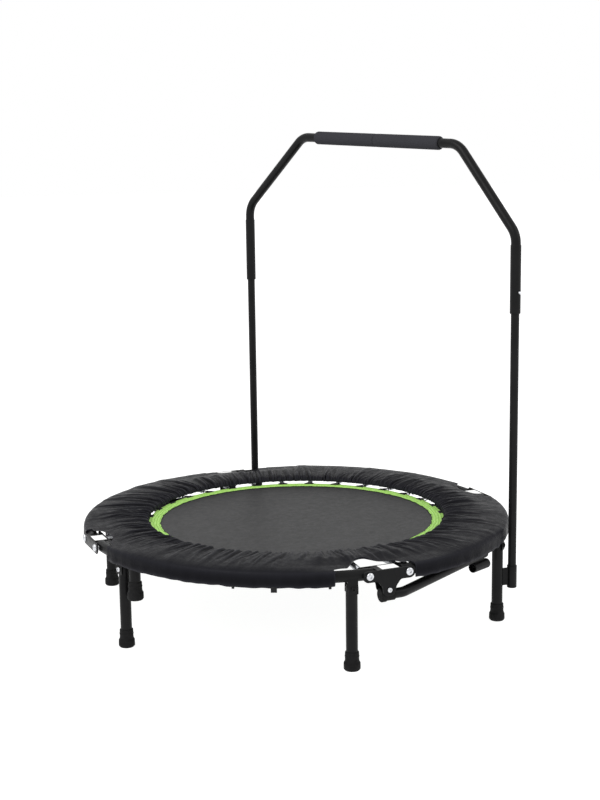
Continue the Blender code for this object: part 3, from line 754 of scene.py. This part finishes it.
def borders():
    """The stitched green webbing round the mat, puckered along its rows of thread."""
    for name, side in SIDES:
        angles = half_angles(side, 541)[:, None]
        share = np.linspace(0, 1, 41)[None, :]
        inner, outer = border_edges(angles)
        radius = inner + (outer - inner) * share
        height = 0.2069 + 0 * radius
        for row in range(len(STITCH_ROWS)):
            gap = (radius - row_radius(row, angles)) / 0.0011
            height = height - 0.0011 * np.exp(-gap ** 2)
            pucker = np.sin(150 * angles + 2.2 * row + 2 * np.sin(13 * angles))
            height = height + 0.00022 * pucker * np.exp(-(gap / 2.2) ** 2)
        edge = np.minimum(share, 1 - share) * (outer - inner) / 0.0012
        height = height - 0.0009 * (1 - np.sqrt(1 - (1 - np.clip(edge, 0, 1)) ** 2))
        top = round_grid(radius, angles, height)
        low = round_grid(radius, angles, 0.2024 + 0 * radius)
        thing = piece("stitched_border_" + name, [slab(top, low)], GREEN, None,
                      ["mat_border_" + name], 60)
        bends(thing)
        rows = []
        turn = np.linspace(angles[0, 0], angles[-1, 0], 900)
        for row in range(len(STITCH_ROWS)):
            zigzag = 0.0006 * np.sin(turn * 260 + row)
            lift = 0.00018 * np.cos(turn * 520)
            line = round_grid(row_radius(row, turn) + zigzag, turn, 0.2062 + lift)
            rows.append(bar(line, 0.00038, 5))
        thing = piece("border_thread_" + name, rows, GREEN_THREAD, None)
        bends(thing)
        # Painted shadow: a thin dark thread along the webbing's inner edge, standing in for the shadow that
        # edge casts on the mat.
        turn = np.linspace(angles[0, 0], angles[-1, 0], 500)
        line = round_grid(border_edges(turn)[0] - 0.0004, turn, 0.2060 + 0.0002 * np.sin(turn * 300))
        thing = piece("painted_shadow_line_" + name, [bar(line, 0.0009, 6)], EDGE_SHADOW_LOOK, None)
        bends(thing)


SPRINGS, COIL_TURNS, COIL_POINTS = 32, 27, 10


def spring_line(angle):
    """Centre line of one spring's wire: a hook, the coil, and a hook into the ring's tube."""
    out, along = radial(angle), tangent(angle)
    inner, start, end, tube = 0.3800, 0.3880, 0.4600, 0.4818
    coil, hook, height = 0.0056, 0.0038, 0.2045
    points = []
    for k in range(7):
        turn = math.radians(200 - 200 * k / 6)
        points.append(out * (inner + hook * math.cos(turn)) + UP * (height + hook * math.sin(turn)))
    points.append(out * (start - 0.0010) + UP * (height - 0.0004))
    last = COIL_TURNS * COIL_POINTS
    for k in range(last + 1):
        size = coil * min(1, 0.35 + k / COIL_POINTS, 0.35 + (last - k) / COIL_POINTS)
        turn = math.tau * k / COIL_POINTS
        points.append(out * (start + (end - start) * (k / last)) + along * (size * math.cos(turn))
                      + UP * (height + size * math.sin(turn)))
    points.append(out * (end + 0.0012) + UP * (height - 0.0004))
    for k in range(6):
        turn = math.radians(-90 + 150 * k / 5)
        reach, rise = tube - 0.0046 + 0.0050 * math.cos(turn), height + 0.005 + 0.005 * math.sin(turn)
        points.append(out * reach + UP * rise)
    return points


def suspension():
    """The springs, the wire triangles they pull on, and the webbing loops that hold those."""
    for name, side in SIDES:
        coils, loops, rings = [], [], []
        for k in range(SPRINGS // 2):
            angle = (-90 if side > 0 else 90) + (k + 0.5) * 360 / SPRINGS
            out, along, level = radial(angle), tangent(angle), Vector((0, 0, 0.2045))
            coils.append(bar(spring_line(angle), 0.0010, 5))
            shape = eased([(0.3600, -0.015), (0.3600, 0.015), (0.3822, 0.0)], 0.003, True, 4)
            path = [out * r + along * t + level for r, t in shape]
            rings.append(bar(path + path[:2], 0.0014, 8))
            loop = [(0.3492, -0.0120), (0.3622, -0.0115), (0.3622, 0.0115), (0.3492, 0.0120)]
            place = Matrix.Rotation(math.radians(angle), 4, "Z") @ Matrix.Translation((0, 0, 0.2048))
            loops.append(plate(eased(loop, 0.0015, True), place, 0.0052, 0.0012))
        piece("spring_set_" + name, coils, SPRING, name + "_half", ["spring_row_" + name], 60)
        piece("wire_triangles_" + name, rings, STEEL, name + "_half", (), 60)
        thing = piece("webbing_loops_" + name, loops, BLACK_WEBBING, None)
        bends(thing)


# The cover's upper and lower lines in section, as (distance from the ring's axis, height)
PAD_TOP = ((0.3556, 0.2136), (0.3546, 0.2160), (0.3553, 0.2196), (0.3580, 0.2222), (0.3660, 0.2250),
           (0.3820, 0.2270), (0.4050, 0.2284), (0.4350, 0.2290), (0.4650, 0.2284), (0.4850, 0.2268),
           (0.4970, 0.2246), (0.5035, 0.2222), (0.5072, 0.2186), (0.5082, 0.2140), (0.5084, 0.2060),
           (0.5083, 0.1985), (0.5090, 0.1955), (0.5091, 0.1915), (0.5082, 0.1888), (0.5070, 0.1886))
PAD_LOW = ((0.5062, 0.1900), (0.5063, 0.2000), (0.5060, 0.2118), (0.4992, 0.2192), (0.4915, 0.2200),
           (0.4830, 0.2192), (0.4770, 0.2138), (0.4400, 0.2133), (0.4000, 0.2132), (0.3700, 0.2132))


# At a front or side hinge: the cover's opening, as (along the ring, distance from its axis), and the
# two ends of the gap in the skirt
NOTCH_FRONT = ((-0.116, 0.497), (-0.090, 0.489), (-0.070, 0.464), (-0.052, 0.441), (-0.036, 0.4325),
               (-0.024, 0.4335), (-0.008, 0.4640), (0.004, 0.4700), (0.026, 0.4700), (0.034, 0.484),
               (0.046, 0.497), (0.064, 0.505), (0.064, 0.56), (-0.116, 0.56))
NOTCH_SIDE = ((-0.030, 0.474), (-0.012, 0.4685), (0.028, 0.4640), (0.052, 0.4700), (0.076, 0.4840),
              (0.098, 0.5010), (0.102, 0.56), (-0.064, 0.56), (-0.064, 0.505), (-0.040, 0.497))
GAP_FRONT, GAP_SIDE = (-0.118, 0.064), (-0.064, 0.102)
UNDERCUT = 0.055
COVER_INNER, COVER_RIM, COVER_SHARP = 0.3556, 0.507, 50
GATHER_GAIN, GATHER_LIMIT = 1.35, 0.0062
# Kinds of gather: how many, widths in radians, heights, shares of the way out, and whether sharp
GATHERS = ((96, (0.010, 0.022), (0.0016, 0.0046), (0.55, 1.1), 0),
           (150, (0.005, 0.011), (0.0008, 0.0026), (0.28, 0.9), 0),
           (150, (0.004, 0.009), (0.0006, 0.0020), (0.45, 1.1), 1),
           (220, (0.003, 0.006), (0.0003, 0.0011), (0.14, 0.5), 0))


def along_line(points, count):
    """Evenly spaced points along a line in a plane."""
    points = np.array(points)
    steps = np.concatenate([[0], np.cumsum(np.linalg.norm(np.diff(points, axis=0), axis=1))])
    at = np.linspace(0, steps[-1], count)
    line = np.stack([np.interp(at, steps, points[:, i]) for i in (0, 1)], -1)
    for _ in range(2):
        line[1:-1] = (line[:-2] + 2 * line[1:-1] + line[2:]) / 4
    return line


def gathers(angles, reach):
    """Height of the cover's gathers and creases at each way round and share of the way out."""
    draw = np.random.default_rng(5)
    total = np.zeros((len(angles), len(reach)))
    lean = waves(angles, ((2, 0.030), (3, 0.040), (5, 0.035), (9, 0.02)), 8)
    for count, width, size, far, sharp in GATHERS:
        for k in range(count):
            at = math.tau * (k + draw.uniform(-0.45, 0.45)) / count - math.pi / 2
            wide, high, end = draw.uniform(*width), draw.uniform(*size), draw.uniform(*far)
            turn, hook = draw.normal(0, 0.045), draw.uniform(-0.5, 0.5)
            apart = (angles - at + math.pi) % math.tau - math.pi
            near = np.abs(apart) < 0.25
            bend = (lean[near][:, None] + turn) * reach + 0.03 * hook * reach ** 2
            gap = (apart[near][:, None] - bend) / (wide * (0.75 + 0.7 * reach))
            if sharp:
                ridge = np.exp(-1.3 * np.abs(gap)) - 0.4 * np.exp(-((gap - 1.6) / 1.3) ** 2)
            else:
                ridge = 1 / np.cosh(gap) ** 2 - 0.6 / np.cosh((gap - 1.5) / 1.2) ** 2
            fade = np.clip(1 - reach / end, 0, 1) ** 0.8 * (0.55 + 0.45 * np.clip(reach / 0.08, 0, 1))
            total[near] += GATHER_GAIN * high * ridge * fade
    return total


def sink_at_hinges(points, angles):
    """How far the cover lies lower beside each hinge, outside the foam's middle."""
    width, fade, start, ramp, base, share = 0.34, 28, 0.425, 0.04, 0.2203, 0.72
    off_hinge = (angles[:, None] * 2 / math.pi + 0.5) % 1 - 0.5
    by_hinge = 1 / (1 + np.exp((np.abs(off_hinge) * math.pi / 2 - width) * fade))
    outward = np.clip((points[..., 0] - start) / ramp, 0, 1)
    return share * by_hinge * outward * np.clip(points[..., 1] - base, 0, 0.02)


def sink_at_inner_edge(top, reach, angles):
    """How far the cover's inner edge lies lower on one side of the front right quarter."""
    middle, spread, depth = 301, 17, 0.0058
    low_side = np.exp(-((np.degrees(angles) % 360 - middle) / spread) ** 2)[:, None]
    return depth * low_side * (1 - reach) ** 4 * np.clip((top[:, 1] - 0.2132) / 0.006, 0, 1)


def notch_cutters(side):
    """What is cut out at the hinges of one half: the opening, a hollow under its edge and the skirt."""
    solids = []
    for angle in HINGES.values():
        if side * math.cos(math.radians(angle)) < -0.5:
            continue
        notch, gap = (NOTCH_FRONT, GAP_FRONT) if angle in (90, 270) else (NOTCH_SIDE, GAP_SIDE)
        opening = [(-t, r) for t, r in notch]
        under = [(t, r - UNDERCUT if r < 0.5 else r) for t, r in opening]
        skirt = rectangle(-gap[1], 0.4660, -gap[0], 0.56)
        spin = Matrix.Rotation(math.radians(angle - 90), 4, "Z")
        for outline, radius, steps, height, depth in ((opening, 0.008, 5, 0.24, 0.06),
                                                      (under, 0.008, 5, 0.2100, 0.0236),
                                                      (skirt, 0.004, 3, 0.1989, 0.0378)):
            place = Matrix.Translation((0, 0, height)) @ spin
            solids.append(plate(eased(outline, radius, True, steps), place, depth, 0.0001))
    return solids


def cut(thing, solids):
    """Takes solids out of a mesh, with one boolean for each, because they overlap."""
    tools = [finish_mesh("notch_cutter", verts, faces, NYLON) for verts, faces in solids]
    for tool in tools:
        change = thing.modifiers.new("notch", "BOOLEAN")
        change.operation, change.solver, change.object = "DIFFERENCE", "MANIFOLD", tool
    settled = bpy.data.meshes.new_from_object(thing.evaluated_get(bpy.context.evaluated_depsgraph_get()))
    thing.modifiers.clear()
    thing.data = settled
    for tool in tools:
        bpy.data.objects.remove(tool, do_unlink=True)
    settled.shade_smooth()
    settled.set_sharp_from_angle(angle=math.radians(COVER_SHARP))


def pads():
    """The nylon cover over its foam ring: gathered at the inner edge, with a hemmed skirt."""
    top = along_line(PAD_TOP, 58)
    low = along_line(PAD_LOW, 14)
    slope = np.gradient(top, axis=0)
    normal = np.stack([-slope[:, 1], slope[:, 0]], -1)
    normal /= np.linalg.norm(normal, axis=1)[:, None]
    normal *= np.sign(normal[len(top) // 2 - 1, 1])
    reach = np.clip((top[:, 0] - COVER_INNER) / (COVER_RIM - COVER_INNER), 0, 1)
    skirt = np.clip((0.2200 - top[:, 1]) / 0.030, 0, 1) * (top[:, 0] > 0.45)
    for name, side in SIDES:
        angles = half_angles(side, 901)
        height = gathers(angles, reach) * (1 - skirt) ** 2
        swell = waves(angles, ((19, 0.0006), (31, 0.0005), (43, 0.0004)), 21)[:, None]
        rippled = waves(angles, ((37, 0.00025), (61, 0.0002), (89, 0.0002)), 22)[:, None]
        height += swell * np.sin(reach * math.pi) + rippled * (0.3 + skirt)
        height = GATHER_LIMIT * np.tanh(height / GATHER_LIMIT)
        points = top[None] + height[..., None] * normal[None]
        points[..., 1] -= sink_at_hinges(points, angles)
        points[..., 1] -= sink_at_inner_edge(top, reach, angles)
        hem = waves(angles, ((23, 0.0005), (67, 0.0004), (101, 0.0003)), 23)[:, None]
        points[..., 1] += skirt ** 3 * hem
        full = np.concatenate([points, np.broadcast_to(low[None], (len(angles), len(low), 2))], 1)
        rings = round_grid(full[..., 0], angles[:, None], full[..., 1])
        verts, faces = skin([list(ring) for ring in rings])
        pad = finish_mesh("pad_cover_" + name, verts, faces, NYLON, COVER_SHARP)
        cut(pad, notch_cutters(side))
        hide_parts("pad_" + name)
        bends(pad)


# Tie tabs under the skirt: angle, width and depth
TABS = ((232.3, 0.006, 0.004), (242.1, 0.013, 0.009), (255.3, 0.006, 0.004))


def skirt_tabs():
    """Three short tie tabs that hang below the skirt's hem."""
    hem = -0.0172
    for count, (angle, wide, deep) in enumerate(TABS, 1):
        outline = eased(rectangle(-wide / 2, hem - deep, wide / 2, hem + 0.003), 0.001, True)
        tab = plate(outline, upright_plane(angle, 0.5082), 0.0012, 0.0003)
        piece("skirt_tab_%d" % count, [tab], BLACK_WEBBING, "left_half")


# Soft lamps, as (place, width, watts), and the camera: its place, its aim, its roll and its lens in mm
LAMPS = {"key": ((-1.6, -0.6, 2.6), 1.6, 38), "fill": ((2.2, -2.0, 2.2), 2.0, 18)}
LAMP_AIM = Vector((0, 0, 0.3))
CAMERA_PLACE, CAMERA_ROLL = (-1.2855, -3.1188, 1.0932), -0.0138
CAMERA_FORWARD, CAMERA_RIGHT = Vector((0.3787, 0.9089, -0.1745)), Vector((0.9231, -0.3846, 0))
FOCAL_LENGTH, SENSOR = 64.7235, 36
FLOOR_TONE, FLOOR_GLOW = 0.32, 0.93


def studio():
    """A white sweep under plain soft light, and the camera."""
    world = bpy.data.worlds.new("studio")
    bpy.context.scene.world = world
    world.use_nodes = True
    world.node_tree.nodes["Background"].inputs["Color"].default_value = (1, 1, 1, 1)
    world.node_tree.nodes["Background"].inputs["Strength"].default_value = 1.0
    bpy.context.scene.view_settings.view_transform = "Standard"
    mesh = bpy.data.meshes.new("floor")
    mesh.from_pydata([(-30, -30, 0), (30, -30, 0), (30, 30, 0), (-30, 30, 0)], [], [(0, 1, 2, 3)])
    floor = bpy.data.objects.new("floor", mesh)
    bpy.context.scene.collection.objects.link(floor)
    look = Look("white_floor", (FLOOR_TONE, FLOOR_TONE, FLOOR_TONE), 0.9, Specular_IOR_Level=0.0)
    look.put("Emission Color", (1, 1, 1, 1))
    look.put("Emission Strength", FLOOR_GLOW)
    mesh.materials.append(look.material)
    for name, (spot, size, power) in LAMPS.items():
        lamp = bpy.data.lights.new(name, "AREA")
        lamp.energy, lamp.size = power, size
        thing = bpy.data.objects.new(name, lamp)
        bpy.context.scene.collection.objects.link(thing)
        thing.location = spot
        thing.rotation_euler = (LAMP_AIM - Vector(spot)).to_track_quat("-Z", "Y").to_euler()
    forward, right = CAMERA_FORWARD.normalized(), CAMERA_RIGHT.normalized()
    above = right.cross(forward)
    across = math.cos(CAMERA_ROLL) * right + math.sin(CAMERA_ROLL) * above
    upward = -math.sin(CAMERA_ROLL) * right + math.cos(CAMERA_ROLL) * above
    lens = bpy.data.cameras.new("camera")
    lens.lens, lens.sensor_width = FOCAL_LENGTH, SENSOR
    camera = bpy.data.objects.new("camera", lens)
    bpy.context.scene.collection.objects.link(camera)
    x, y, z = CAMERA_PLACE
    camera.matrix_world = Matrix(((across.x, upward.x, -forward.x, x), (across.y, upward.y, -forward.y, y),
                                  (across.z, upward.z, -forward.z, z), (0, 0, 0, 1)))
    bpy.context.scene.camera = camera


studio()
ring_tubes()
legs()
hinges()
levers()
stand_stub()
handle()
mats()
borders()
suspension()
pads()
skirt_tabs()
